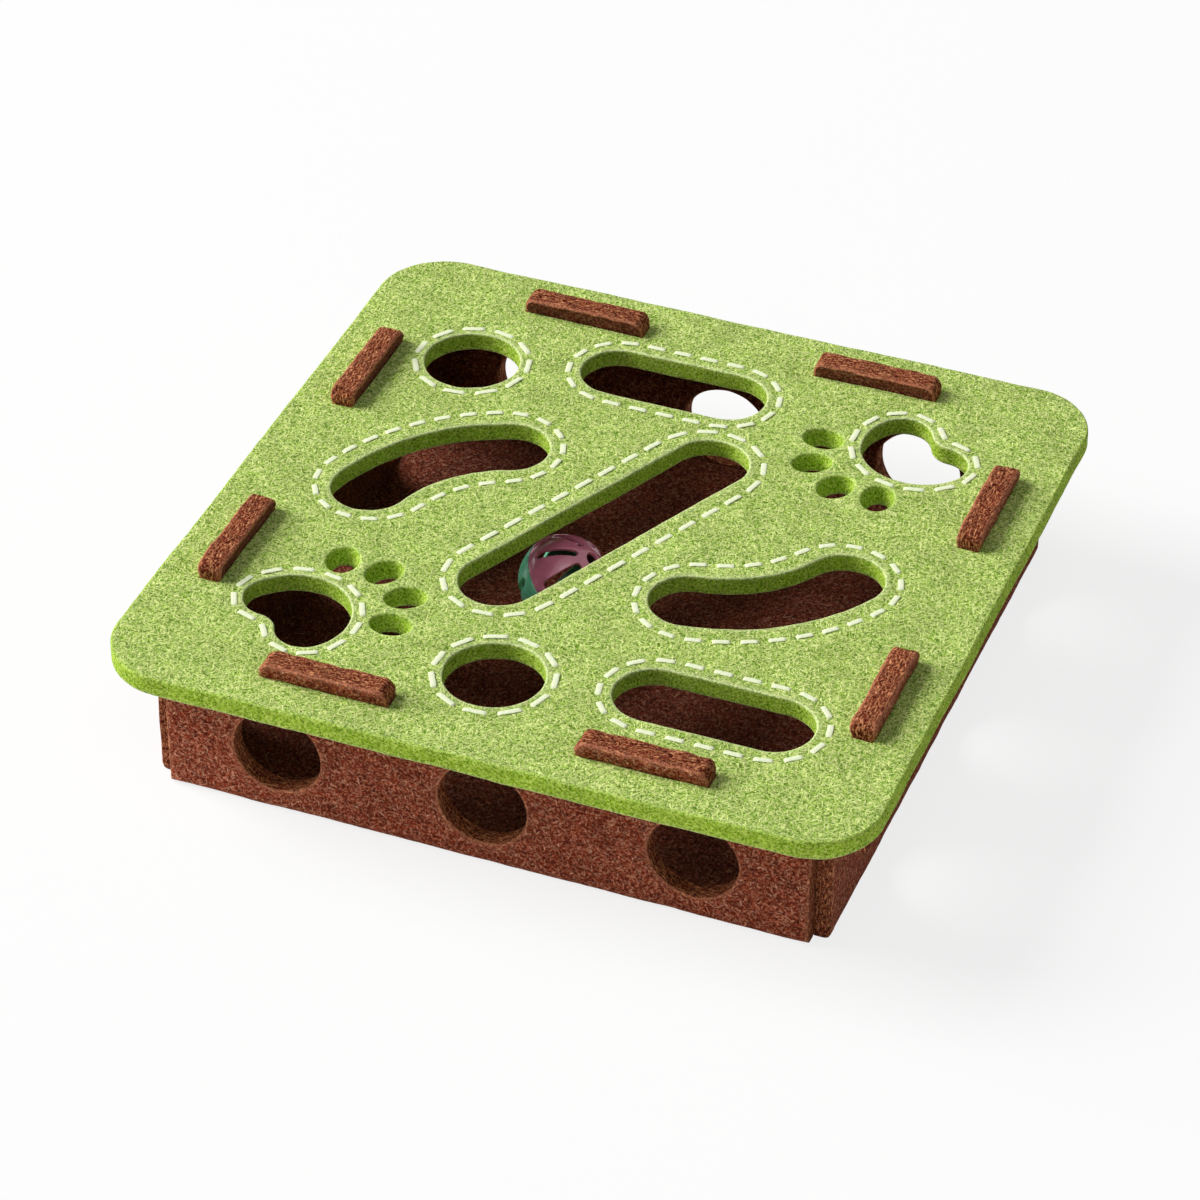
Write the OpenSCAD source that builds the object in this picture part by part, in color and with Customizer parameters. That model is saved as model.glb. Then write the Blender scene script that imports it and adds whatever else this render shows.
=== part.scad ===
// Felt maze box for a cat: a lid with cut-out openings locks over a tray of
// folded-up walls by tabs, and a lattice ball with a jingle bell rolls inside.
// Millimetres, +Z up, origin on the floor under the middle of the box.
// X runs along the front wall and Y from the front wall to the rear wall.

/* [Felt] */
// Thickness of every felt panel
felt_t = 8; // [5:0.2:12]

/* [Tray] */
// Inside width between opposite walls
tray_side = 251; // [245:1:300]
// Height of the lid's top face above the floor
lid_top = 62; // [58:0.5:90]
// Outside radius of the fold at the foot of each wall
fold_r = 3; // [1:0.5:4]
// How far the outside of each wall reaches past the inside corners
corner_reach = 1.3; // [0.5:0.1:3]
// Diameter of the paw holes in the walls
wall_hole_d = 35; // [20:0.5:38]
// Height of the paw holes above the tray's floor
wall_hole_lift = 1.5; // [0.5:0.1:5]
// Spacing of the paw holes along a wall
wall_hole_pitch = 82; // [50:1:90]

/* [Tabs] */
// Length of each tab along its wall
tab_len = 51; // [30:1:56]
// Spacing of the two tabs on a wall
tab_pitch = 124; // [110:1:140]
// How far a tab stands above the lid
tab_rise = 6.5; // [3:0.5:10]
// Radius on the upper corners of a tab
tab_corner_r = 4; // [1:0.5:6]
// Gap between a tab and its slot, on each side
tab_clear = 0.5; // [0.3:0.1:1]

/* [Lid] */
// How far the lid reaches past the walls
lid_overhang = 16.5; // [8:0.5:30]
// Radius of the lid's corners
lid_corner_r = 27; // [10:1:40]

/* [Round holes] */
// Diameter of the round holes
round_d = 38; // [25:0.5:42]
// Rear round hole, from the left and rear walls
rear_round_inset = [31.6, 40.9]; // [28:0.1:50]
// Front round hole, distance left of the middle
front_round_left = 8; // [0:0.5:11]
// Front round hole, distance from the front wall
front_round_inset = 24.5; // [22:0.5:32]

/* [Straight slots] */
// Width of the straight and curved slots
slot_w = 30.8; // [20:0.2:32]
// Distance between the end centres of the short slots
short_slot_run = 46; // [30:1:50]
// Rear short slot, distance left of the middle
rear_slot_left = 13; // [8:0.5:16]
// Rear short slot, distance from the rear wall
rear_slot_inset = 26.6; // [23:0.2:27]
// Front short slot, from the right and front walls
front_slot_inset = [51.6, 34.7]; // [30:0.1:60]
// Distance between the end centres of the diagonal slot
diagonal_run = 111; // [70:1:112]
// Direction of the diagonal slot
diagonal_turn = 65; // [60:0.5:75]
// Middle of the diagonal slot
diagonal_at = [-4.6, 3]; // [-8:0.1:4]

/* [Curved slots] */
// Straight distance between the end centres of a curved slot
curved_run = 60; // [45:1:64]
// How far the middle of a curved slot bows out
curved_bow = 7.2; // [3:0.2:10]
// Left curved slot, distance from the left wall
left_curve_inset = 48.4; // [44:0.2:52]
// Left curved slot, distance behind the middle
left_curve_back = 12.7; // [8:0.1:16]
// Left curved slot, direction
left_curve_turn = 48; // [40:1:55]
// Right curved slot, distance from the right wall
right_curve_inset = 58; // [52:0.5:62]
// Right curved slot, distance in front of the middle
right_curve_front = 15.6; // [12:0.2:18]
// Right curved slot, direction
right_curve_turn = 34.5; // [28:0.5:40]

/* [Paw prints] */
// Middle of the front paw print, from the left and front walls
front_paw_inset = [42, 37.8]; // [36:0.1:50]
// Middle of the rear paw print, from the right and rear walls
rear_paw_inset = [42.7, 39.5]; // [36:0.1:50]
// Direction in which the toes of the front paw print point
paw_turn = 49.5; // [40:0.5:60]
// Width of the pad
pad_w = 46; // [30:0.5:47]
// Radius of the notch in the heel of the pad
pad_notch_r = 9.2; // [7:0.2:12]
// Middle of the pad's round front, along and across the paw print
pad_shift = [-11, 3]; // [-14:0.1:4]
// Twist of the pad against the toes
pad_twist = 5; // [0:0.5:10]
// Length and width of a toe hole
toe_size = [16.4, 13]; // [8:0.1:17]
// Distance of each toe from the paw print's middle
toe_reach = [28.2, 32.2, 32.2, 31]; // [28:0.1:36]
// Angle between neighbouring toes
toe_step = 32.4; // [30:0.2:36]

/* [Stitching] */
// Distance of the thread from the edge of a round hole or a pad
round_stitch_out = 4.3; // [3:0.1:5]
// Distance of the thread from the sides of a short slot
short_stitch_out = 6; // [3:0.1:6.4]
// Distance of the thread from the sides of a diagonal or curved slot
long_stitch_out = 8.1; // [4:0.1:10]
// Distance of the thread from the ends of a slot
stitch_end_out = 5.5; // [3:0.1:6]
// Gap between stitches
stitch_gap = 3.2; // [2:0.1:5]
// Stitches around a round hole
round_stitches = 11; // [8:1:16]
// Stitches around a short slot
short_slot_stitches = 20; // [14:1:26]
// Stitches around the diagonal slot
diagonal_stitches = 29; // [20:1:40]
// Stitches around a curved slot
curved_stitches = 25; // [18:1:34]
// Stitches around a pad
pad_stitches = 13; // [10:1:18]
// Width of the thread
thread_w = 2.4; // [1:0.1:3]
// Height of the thread above the felt
thread_h = 0.8; // [0.3:0.1:1.2]

/* [Ball] */
// Diameter of the lattice ball
ball_d = 36; // [30:0.5:38]
// Thickness of the ball's shell
shell_t = 1.6; // [1:0.1:2.5]
// Slots around each half of the shell
shell_slots = 8; // [6:1:12]
// Angles from the pole at which a shell slot begins and ends
shell_slot_span = [22, 78]; // [20:1:80]
// Angle that a shell slot takes up around the pole
shell_slot_angle = 17; // [12:1:26]
// Diameter of the hole at each pole
pole_hole_d = 6; // [3:0.5:8]
// Middle of the ball on the tray's floor
ball_at = [-23, 6]; // [-60:0.5:60]
// Lean of the ball's pole from upright, and its heading
ball_pole = [42, 1]; // [-90:1:90]
// Gap between pieces that lie loose on each other
loose_gap = 0.3; // [0.2:0.05:0.5]

/* [Bell] */
// Diameter of the jingle bell
bell_d = 14; // [10:0.5:18]
// Thickness of the bell's wall
bell_t = 0.7; // [0.5:0.1:1]
// Length of the sound slit in the bell
bell_slit_len = 8.4; // [4:0.1:9]
// Width of the sound slit in the bell
bell_slit_w = 1.4; // [0.8:0.1:2]
// Diameter of the sound holes at the ends of the slit
bell_hole_d = 2.8; // [2:0.1:4]
// Diameter of the pellet in the bell
pellet_d = 4.5; // [3:0.1:5]

/* [Hidden] */
$fn = 96;
// Spare length that carries a cut past a face
cut = 1;
tray_half = tray_side / 2;
wall_out = tray_half + felt_t;
wall_half = tray_half + corner_reach;
lid_side = 2 * (wall_out + lid_overhang);
lid_under = lid_top - felt_t;
wall_hole_z = felt_t + wall_hole_lift + wall_hole_d / 2;
// Openings of the lid as [x, y, direction]
rear_round = [rear_round_inset[0] - tray_half, tray_half - rear_round_inset[1], 0];
front_round = [-front_round_left, front_round_inset - tray_half, 0];
rear_slot = [-rear_slot_left, tray_half - rear_slot_inset, 0];
front_slot = [tray_half - front_slot_inset[0], front_slot_inset[1] - tray_half, 0];
diagonal_slot = [diagonal_at[0], diagonal_at[1], diagonal_turn];
left_curve = [left_curve_inset - tray_half, left_curve_back, left_curve_turn];
right_curve = [tray_half - right_curve_inset, -right_curve_front, right_curve_turn + 180];
front_paw = [front_paw_inset[0] - tray_half, front_paw_inset[1] - tray_half, paw_turn];
rear_paw = [tray_half - rear_paw_inset[0], tray_half - rear_paw_inset[1], paw_turn + 180];
// Radius and half angle of a curved slot's middle line
curved_r = (curved_run * curved_run / 4 + curved_bow * curved_bow) / (2 * curved_bow);
curved_half = asin(curved_run / 2 / curved_r);
// The pad is a half disc with two lobes and a notch that blends them
pad_r = pad_w / 2;
lobe_r = pad_w / 4;
notch_x = -sqrt(pow(lobe_r + pad_notch_r, 2) - lobe_r * lobe_r);
notch_half = atan2(lobe_r, -notch_x);
ball_r = ball_d / 2;
shell_inner_r = ball_r - shell_t;
ball_z = felt_t + loose_gap + ball_r;
bell_r = bell_d / 2;
bell_z = ball_z - shell_inner_r + bell_r + loose_gap;
pellet_z = bell_z - bell_r + bell_t + pellet_d / 2 + loose_gap;

// Colours
felt_green = [0.70, 0.80, 0.44];
felt_brown = [0.38, 0.21, 0.14];
thread_cream = [0.94, 0.96, 0.82];
shell_pink = [0.60, 0.36, 0.44];
shell_green = [0.36, 0.64, 0.52];
bell_brass = [0.80, 0.66, 0.32];
pellet_steel = [0.62, 0.63, 0.65];

// Places a flat outline or a stitched loop of the lid
module placed(p) {
    translate([p[0], p[1]]) rotate(p[2]) children();
}

module placed_pad(p) {
    placed(p) translate(pad_shift) rotate(pad_twist) children();
}

// Outlines of the openings, each about its own middle
module slot_outline(run, w = slot_w) {
    square([run, w], center = true);
    for (side = [-1, 1]) translate([side * run / 2, 0]) circle(d = w);
}

module curved_outline() {
    reach = curved_r + slot_w;
    corner = reach * tan(curved_half);
    translate([0, curved_bow - curved_r]) intersection() {
        difference() {
            circle(r = curved_r + slot_w / 2);
            circle(r = curved_r - slot_w / 2);
        }
        polygon([[0, 0], [corner, reach], [-corner, reach]]);
    }
    for (side = [-1, 1]) translate([side * curved_run / 2, 0]) circle(d = slot_w);
}

module pad_outline() {
    intersection() {
        circle(r = pad_r);
        translate([0, -pad_r]) square([pad_r, pad_w]);
    }
    for (side = [-1, 1]) translate([0, side * lobe_r]) circle(r = lobe_r);
    difference() {
        polygon([[0, lobe_r], [notch_x, 0], [0, -lobe_r]]);
        translate([notch_x, 0]) circle(r = pad_notch_r);
    }
}

module toe_outline() {
    steps = 36;
    polygon([for (i = [0 : steps - 1])
        [toe_size[0] / 2 * cos(i * 360 / steps), toe_size[1] / 2 * sin(i * 360 / steps)]]);
}

module toes_outline() {
    last = len(toe_reach) - 1;
    for (i = [0 : last]) rotate((i - last / 2) * toe_step) translate([toe_reach[i], 0]) toe_outline();
}

module rounded_square(side, r) {
    inner = side - 2 * r;
    square([side, inner], center = true);
    square([inner, side], center = true);
    for (x = [-1, 1], y = [-1, 1]) translate([x * inner / 2, y * inner / 2]) circle(r = r);
}

// Closed paths of the stitching, set distances outside each outline
function arc(at, r, from, to, steps = 24) =
    [for (i = [0 : steps]) at + r * [cos(from + (to - from) * i / steps), sin(from + (to - from) * i / steps)]];

function round_path() = arc([0, 0], round_d / 2 + round_stitch_out, 0, 360, 72);

function slot_path(run, side_out) =
    let (half_w = slot_w / 2 + side_out, half_run = run / 2 + stitch_end_out - side_out)
    concat(
        arc([half_run, 0], half_w, -90, 90),
        arc([-half_run, 0], half_w, 90, 270));

function curved_path(side_out) =
    let (
        half_w = slot_w / 2 + side_out,
        half = curved_half + (stitch_end_out - side_out) / curved_r * 180 / PI,
        centre = [0, curved_bow - curved_r],
        end = curved_r * [sin(half), cos(half)]
    )
    concat(
        arc(centre + end, half_w, -90 - half, 90 - half),
        arc(centre, curved_r + half_w, 90 - half, 90 + half),
        arc(centre + [-end[0], end[1]], half_w, 90 + half, 270 + half),
        arc(centre, curved_r - half_w, 90 + half, 90 - half));

function pad_path() =
    let (out = round_stitch_out)
    concat(
        arc([0, 0], pad_r + out, -90, 90),
        arc([0, lobe_r], lobe_r + out, 90, 180 + notch_half),
        arc([notch_x, 0], pad_notch_r - out, notch_half, -notch_half),
        arc([0, -lobe_r], lobe_r + out, 180 - notch_half, 270));

// Distance travelled at each point of a closed path, with its whole length last
function travelled(path) =
    let (n = len(path))
    [for (i = 0, s = 0; i <= n; s = s + norm(path[(i + 1) % n] - path[i % n]), i = i + 1) s];

// Point at a distance along a closed path
function point_at(path, marks, s) =
    let (
        whole = marks[len(path)],
        at = s - whole * floor(s / whole),
        i = max([for (k = [0 : len(path) - 1]) if (marks[k] <= at) k]),
        step = marks[i + 1] - marks[i],
        share = step > 0 ? (at - marks[i]) / step : 0
    )
    path[i] + share * (path[(i + 1) % len(path)] - path[i]);

module stitches(path, count) {
    marks = travelled(path);
    pitch = marks[len(path)] / count;
    for (i = [0 : count - 1]) {
        from = point_at(path, marks, i * pitch);
        to = point_at(path, marks, (i + 1) * pitch - stitch_gap);
        middle = (from + to) / 2;
        along = to - from;
        translate([middle[0], middle[1], lid_top]) rotate(atan2(along[1], along[0]))
            linear_extrude(thread_h) slot_outline(norm(along) - thread_w, thread_w);
    }
}

// One wall with its tabs, standing at the front
module wall_face() {
    difference() {
        translate([-wall_half, 0]) square([2 * wall_half, lid_under]);
        for (x = [-wall_hole_pitch, 0, wall_hole_pitch]) translate([x, wall_hole_z]) circle(d = wall_hole_d);
    }
    tab_top = lid_top + tab_rise;
    for (side = [-1, 1]) translate([side * tab_pitch / 2, 0]) {
        translate([-tab_len / 2, lid_under - cut]) square([tab_len, tab_top - tab_corner_r - lid_under + cut]);
        translate([tab_corner_r - tab_len / 2, lid_under]) square([tab_len - 2 * tab_corner_r, tab_top - lid_under]);
        for (end = [-1, 1]) translate([end * (tab_len / 2 - tab_corner_r), tab_top - tab_corner_r])
            circle(r = tab_corner_r);
    }
}

module fold_cut() {
    translate([-wall_half - cut, 0, 0]) rotate([90, 0, 90]) linear_extrude(2 * (wall_half + cut))
        difference() {
            translate([-wall_out - cut, -cut]) square(fold_r + cut);
            translate([fold_r - wall_out, fold_r]) circle(r = fold_r);
        }
}

// Bevels the ends of a wall on the inside, where it closes the corner against its neighbour
module corner_cuts() {
    from = tray_half - cut;
    to = wall_half + cut;
    for (side = [0, 1]) mirror([side, 0, 0])
        linear_extrude(lid_top) polygon([[from, -from], [to, -to], [to, -from]]);
}

module wall(turn) {
    color(felt_brown) rotate(turn) difference() {
        translate([0, -tray_half, 0]) rotate([90, 0, 0]) linear_extrude(felt_t) wall_face();
        fold_cut();
        corner_cuts();
    }
}

module base_panel() {
    color(felt_brown) translate([-tray_half, -tray_half, 0]) cube([tray_side, tray_side, felt_t]);
}

module front_wall() {
    wall(0);
}

module right_wall() {
    wall(90);
}

module rear_wall() {
    wall(180);
}

module left_wall() {
    wall(270);
}

module tab_slots() {
    slot_size = [tab_len + 2 * tab_clear, felt_t + 2 * tab_clear];
    for (turn = [0 : 90 : 270], side = [-1, 1])
        rotate(turn) translate([side * tab_pitch / 2, -tray_half - felt_t / 2]) square(slot_size, center = true);
}

module lid_panel() {
    color(felt_green) translate([0, 0, lid_under]) linear_extrude(felt_t) difference() {
        rounded_square(lid_side, lid_corner_r);
        tab_slots();
        for (p = [rear_round, front_round]) placed(p) circle(d = round_d);
        for (p = [rear_slot, front_slot]) placed(p) slot_outline(short_slot_run);
        placed(diagonal_slot) slot_outline(diagonal_run);
        for (p = [left_curve, right_curve]) placed(p) curved_outline();
        for (p = [front_paw, rear_paw]) {
            placed_pad(p) pad_outline();
            placed(p) toes_outline();
        }
    }
}

module rear_round_stitching() {
    color(thread_cream) placed(rear_round) stitches(round_path(), round_stitches);
}

module front_round_stitching() {
    color(thread_cream) placed(front_round) stitches(round_path(), round_stitches);
}

module short_slot_stitching(p) {
    color(thread_cream) placed(p) stitches(slot_path(short_slot_run, short_stitch_out), short_slot_stitches);
}

module rear_slot_stitching() {
    short_slot_stitching(rear_slot);
}

module front_slot_stitching() {
    short_slot_stitching(front_slot);
}

module diagonal_slot_stitching() {
    color(thread_cream) placed(diagonal_slot)
        stitches(slot_path(diagonal_run, long_stitch_out), diagonal_stitches);
}

module left_curve_stitching() {
    color(thread_cream) placed(left_curve) stitches(curved_path(long_stitch_out), curved_stitches);
}

module right_curve_stitching() {
    color(thread_cream) placed(right_curve) stitches(curved_path(long_stitch_out), curved_stitches);
}

module front_paw_stitching() {
    color(thread_cream) placed_pad(front_paw) stitches(pad_path(), pad_stitches);
}

module rear_paw_stitching() {
    color(thread_cream) placed_pad(rear_paw) stitches(pad_path(), pad_stitches);
}

// Point of the ball's section at a radius and an angle from the pole
function polar(r, lean) = r * [sin(lean), cos(lean)];

module shell_slot_profile() {
    from = shell_slot_span[0];
    to = shell_slot_span[1];
    inside = shell_inner_r - cut;
    outside = ball_r / cos((to - from) / 2) + cut;
    polygon([polar(inside, from), polar(outside, from), polar(outside, to), polar(inside, to)]);
}

// One half of the ball, with its pole up
module half_shell() {
    pitch = 360 / shell_slots;
    difference() {
        rotate_extrude() intersection() {
            difference() {
                circle(r = ball_r);
                circle(r = shell_inner_r);
            }
            translate([pole_hole_d / 2, 0]) square(ball_d);
        }
        for (i = [0 : shell_slots - 1]) rotate((i + 0.5) * pitch - shell_slot_angle / 2)
            rotate_extrude(angle = shell_slot_angle) shell_slot_profile();
    }
}

module ball_placed() {
    translate([ball_at[0], ball_at[1], ball_z]) rotate([0, ball_pole[0], ball_pole[1]]) children();
}

module ball_pink_shell() {
    color(shell_pink) ball_placed() half_shell();
}

// The second half is turned so that its slots stand between those of the first
module ball_green_shell() {
    color(shell_green) ball_placed() rotate([180, 0, 180 / shell_slots]) half_shell();
}

// One cup of the jingle bell, open upwards
module bell_cup() {
    difference() {
        sphere(d = bell_d);
        sphere(d = bell_d - 2 * bell_t);
        translate([-bell_d, -bell_d, 0]) cube(2 * bell_d);
    }
}

module bell_placed() {
    translate([ball_at[0], ball_at[1], bell_z]) children();
}

module bell_upper_cup() {
    color(bell_brass) bell_placed() rotate([180, 0, 0]) bell_cup();
}

module bell_lower_cup() {
    color(bell_brass) bell_placed() difference() {
        bell_cup();
        translate([0, 0, -bell_d]) linear_extrude(bell_d) {
            square([bell_slit_len, bell_slit_w], center = true);
            for (side = [-1, 1]) translate([side * bell_slit_len / 2, 0]) circle(d = bell_hole_d);
        }
    }
}

module bell_pellet() {
    color(pellet_steel) translate([ball_at[0], ball_at[1], pellet_z]) sphere(d = pellet_d);
}

base_panel();
front_wall();
right_wall();
rear_wall();
left_wall();
lid_panel();
rear_round_stitching();
front_round_stitching();
rear_slot_stitching();
front_slot_stitching();
diagonal_slot_stitching();
left_curve_stitching();
right_curve_stitching();
front_paw_stitching();
rear_paw_stitching();
ball_pink_shell();
ball_green_shell();
bell_upper_cup();
bell_lower_cup();
bell_pellet();
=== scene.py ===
"""Cat's felt maze box: the finished look, built around the packed solids.

Felt and thread are rebuilt from the outlines of the solids that they stand for, so their sizes and places
follow the frame. The ball takes its place, radius and thickness from its solids, and its slots from the
settings. Lengths are in metres.
"""

import math

import bpy
import numpy as np
from bpy.props import FloatProperty, FloatVectorProperty, IntProperty, PointerProperty
from mathutils import Matrix, Vector, kdtree, noise
from mathutils.geometry import delaunay_2d_cdt


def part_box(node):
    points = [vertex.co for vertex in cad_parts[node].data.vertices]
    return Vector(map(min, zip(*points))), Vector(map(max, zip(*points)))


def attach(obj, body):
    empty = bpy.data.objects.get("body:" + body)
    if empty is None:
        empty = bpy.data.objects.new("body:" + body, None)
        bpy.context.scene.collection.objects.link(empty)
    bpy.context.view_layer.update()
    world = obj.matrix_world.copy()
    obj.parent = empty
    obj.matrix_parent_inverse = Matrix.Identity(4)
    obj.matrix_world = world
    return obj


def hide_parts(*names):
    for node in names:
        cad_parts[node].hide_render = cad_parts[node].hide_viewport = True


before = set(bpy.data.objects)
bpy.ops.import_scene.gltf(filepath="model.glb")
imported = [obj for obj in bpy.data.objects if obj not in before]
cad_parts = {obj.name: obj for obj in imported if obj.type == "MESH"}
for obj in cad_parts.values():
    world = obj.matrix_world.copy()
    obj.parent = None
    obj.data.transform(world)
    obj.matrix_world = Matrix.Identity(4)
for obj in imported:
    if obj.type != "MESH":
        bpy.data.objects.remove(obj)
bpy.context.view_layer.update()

bl_info = {
    "name": "Felt Maze Box",
    "version": (1, 0, 0),
    "blender": (4, 5, 0),
    "location": "View3D > Sidebar > Maze Box",
    "description": "Builds a cat's felt maze box around its packed solids",
    "category": "Object",
}

UPWARD = (0, 0, 1)
WALL_OUTSIDES = {
    "front_wall": (0, -1, 0),
    "right_wall": (1, 0, 0),
    "rear_wall": (0, 1, 0),
    "left_wall": (-1, 0, 0),
}
STITCHED_LOOPS = sorted(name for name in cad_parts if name.endswith("_stitching"))

# Decimals that tell points apart, and how close to a face a point lies on it
SAME_POINT = 6
ON_FACE = 1e-5

# Sheets: rings along a cut edge, a limit on its mitres, the grid's distance from it in cells, and the
# distance below which points merge
EDGE_ROWS = 4
MITRE_LIMIT = 0.4
GRID_CLEAR = 0.55
WELD = 1e-9

# Mesh cells over the faces that show less, as a multiple of the cell in the settings
BASE_TOP_CELLS = 1.6
BASE_UNDER_CELLS = 2.5
WALL_INSIDE_CELLS = 2
LID_UNDER_CELLS = 1.6
SHELL_INSIDE_CELLS = 1.5

# How frayed a rim is, ring by ring from the face to the cut, and at the front and back of each edge
# On the lid the pale fray is partly loose fibres and partly a painted highlight, brightest near the face
RIM_FRAY = (0.3, 1.0, 0.9, 0.4, 0.1)
BASE_FRAY = (0.5, 0.5)
WALL_FRAY = 0.4
TAB_FRAY = 0.7
WALL_HOLE_FRAY = (0.6, 0.35)
LID_FRAY_AND_HIGHLIGHT = (0.15, 0.9)
LID_HOLE_FRAY_AND_HIGHLIGHT = (0.75, 0.9)
TOE_FRAY = (0.3, 0.9)
SLOT_FRAY = (0.1, 0.1)
NO_FRAY = (0, 0)

# Seed of the felt's noise, and the widths of its soft waves and small lumps
FELT_SEED = 7
BASE_WAVES = 0.02
WALL_WAVES = 0.016
WALL_LUMPS = 0.0045
LID_WAVES = 0.022
LID_LUMPS = 0.005

# Height of those lumps as a multiple of the felt's unevenness
WALL_ROUGHNESS = 0.4
TAB_ROUGHNESS = 1.6
LID_ROUGHNESS = 0.5

# Lid: corners of a tab slot, the largest area of a toe hole, and the dents under the stitches
SLOT_CORNERS = 4
LARGEST_TOE = 0.0002
DENT_REACH = 0.0022
DENT_SAMPLES = 7

# Walls: the rim at their ends inside, where the ends begin to spread, and how far they press on each other
SHARP_RIM = 0.0002
CORNER_BLEND = 0.015
CORNER_PRESS = 0.0002

# Stitches: points and rings, the powers that shape their ends and sides, the depth of plies and loose
# fibres, the step of the pattern from stitch to stitch, and how far down its dent a stitch lies
RING_POINTS = 14
STITCH_RINGS = 15
END_DIP = 10
END_TAPER = 14
END_TIP = 0.02
SIDE_FRAY = 8
PLY_DEPTH = 0.09
LOOSE_DEPTH = 0.16
LOOSE_SCALE = 900
GRAIN_SHIFT = 0.01
DENT_SEAT = 0.5

# Ball: points round the seam and round the ends of a slot
SEAM_POINTS = 96
WIDE_END_POINTS = 15
NARROW_END_POINTS = 11

# Felt: headings of the fibres, their stretch and where their noise shows, the patterns in repeats a metre,
# and how far the fibres wander on a face and on a cut
PALE_HEADINGS = (18, 77, 139)
DARK_HEADINGS = (48, 108, 169)
FIBRE_STRETCH = (0.25, 1, 1)
FIBRE_RANGE = (0.53, 0.66)
LAYER_RANGE = (0.52, 0.66)
PALE_FIBRES, DARK_FIBRES = 1400, 1270
PALE_LAYERS, DARK_LAYERS = 1700, 1500
PORES = 1050
CLOUDS = 60
BENDS = 160
FACE_WANDER = 0.0016
CUT_WANDER = 0.0008

# Patterns of the other materials in repeats a metre
THREAD_FIBRES = 5200
FLOW_MARKS = 130
RUBBED_PATCHES = 420
TARNISH = 380
RUB_MARKS = 900
FLOOR_CLOUDS = 3

# Stage: the floor's distance under the box, and how far the camera sees
FLOOR_DROP = 0.0002
CAMERA_SIGHT = 20


# Settings that a user would change

def screen_colour(*levels):
    """A colour picked on screen, 0 to 255, as the linear values that shaders use."""
    shares = [level / 255 for level in levels]
    return tuple(s / 12.92 if s <= 0.04045 else ((s + 0.055) / 1.055) ** 2.4 for s in shares)


def length(label, note, default):
    """A size in metres for a settings group."""
    return FloatProperty(name=label, description=note, default=default, min=0, precision=5,
                         unit="LENGTH", subtype="DISTANCE")


def colour(label, note, *levels):
    """A colour for a settings group, given as it looks on screen."""
    return FloatVectorProperty(name=label, description=note, size=3, min=0, max=1, subtype="COLOR",
                               default=screen_colour(*levels))


def fraction(label, note, default):
    """A share of a whole for a settings group."""
    return FloatProperty(name=label, description=note, default=default, min=0, max=1, subtype="FACTOR")


def power(label, note, default):
    """A lamp's power in watts for a settings group."""
    return FloatProperty(name=label, description=note, default=default, min=0, unit="POWER")


def turn(label, note, degrees):
    """An angle for a settings group."""
    return FloatProperty(name=label, description=note, default=math.radians(degrees), unit="ROTATION",
                         subtype="ANGLE")


class FeltSettings(bpy.types.PropertyGroup):
    """Sizes and colours of the felt panels."""

    lid_rim: length("Lid rim", "Rounding of the lid's edges and holes", 0.0009)
    slot_rim: length("Slot rim", "Rounding of the lid's tab slots", 0.0003)
    slot_snug: length("Slot snugness", "How far the felt of a tab slot swells towards its tab", 0.0003)
    # The narrowing stands in for shade: the hole's walls hide the floor below it
    toe_taper: length("Toe taper", "How far a toe hole narrows on each side towards the underside", 0.0019)
    wall_rim: length("Wall rim", "Rounding of the walls' edges and holes", 0.0009)
    tab_rim: length("Tab rim", "Rounding of the tabs where they stand above the lid", 0.0011)
    tab_swell: length("Tab swell", "How far a tab swells on each face above its slot", 0.001)
    fold: length("Fold", "Outer rounding where a wall folds up from the base", 0.003)
    cell: length("Mesh cell", "Size of the mesh over a panel's outer face", 0.0023)
    unevenness: length("Unevenness", "How far the felt's surface strays from flat", 0.0003)
    stitch_dent: length("Stitch dent", "How deep a stitch pulls the felt in", 0.0004)
    lid_body: colour("Lid felt", "Main colour of the lid's felt", 178, 218, 84)
    lid_fibre: colour("Lid fibres", "Pale fibres in the lid's felt", 242, 255, 162)
    lid_pore: colour("Lid pores", "Dark gaps between the lid's fibres", 72, 113, 6)
    lid_cut: colour("Lid cut", "Main colour of the lid's cut edges", 171, 217, 48)
    lid_cut_fibre: colour("Lid cut fibres", "Pale fibres in the lid's cut edges", 233, 250, 127)
    lid_cut_pore: colour("Lid cut pores", "Dark gaps in the lid's cut edges", 93, 131, 7)
    # Partly loose fibres and partly a painted highlight along the lid's rims
    lid_fuzz_and_highlight: colour("Lid fuzz", "Loose fibres along the rims of the lid", 249, 253, 204)
    wall_body: colour("Wall felt", "Main colour of the tray's felt", 164, 66, 37)
    wall_fibre: colour("Wall fibres", "Pale fibres in the tray's felt", 240, 176, 142)
    wall_pore: colour("Wall pores", "Dark gaps between the tray's fibres", 78, 23, 10)
    wall_cut: colour("Wall cut", "Main colour of the tray's cut edges", 118, 39, 18)
    wall_cut_fibre: colour("Wall cut fibres", "Pale fibres in the tray's cut edges", 252, 172, 120)
    wall_cut_pore: colour("Wall cut pores", "Dark gaps in the tray's cut edges", 34, 8, 4)
    wall_fuzz: colour("Wall fuzz", "Loose fibres along the rims of the tray", 216, 140, 108)
    # Painted shade: the tray's inside is its own felt dimmed to this share, standing in for the shade in
    # the box
    inside: fraction("Inside", "Brightness of the tray's inside as a share of its outside", 0.46)


class ThreadSettings(bpy.types.PropertyGroup):
    """Sizes and colours of the stitching."""

    rise: length("Rise", "Height of a stitch's middle above the felt", 0.0001)
    sink: length("Sink", "Depth of a stitch's ends below the felt", 0.0006)
    flatness: fraction("Flatness", "Height of a stitch as a share of its width", 0.17)
    plies: IntProperty(name="Plies", description="Strands twisted into the thread", default=3, min=1, max=6)
    lay: length("Lay", "Length of thread over which a ply goes once round", 0.0055)
    body: colour("Thread", "Main colour of the thread", 251, 255, 227)
    shade: colour("Thread shade", "Colour between the thread's fibres", 215, 234, 163)


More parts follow.
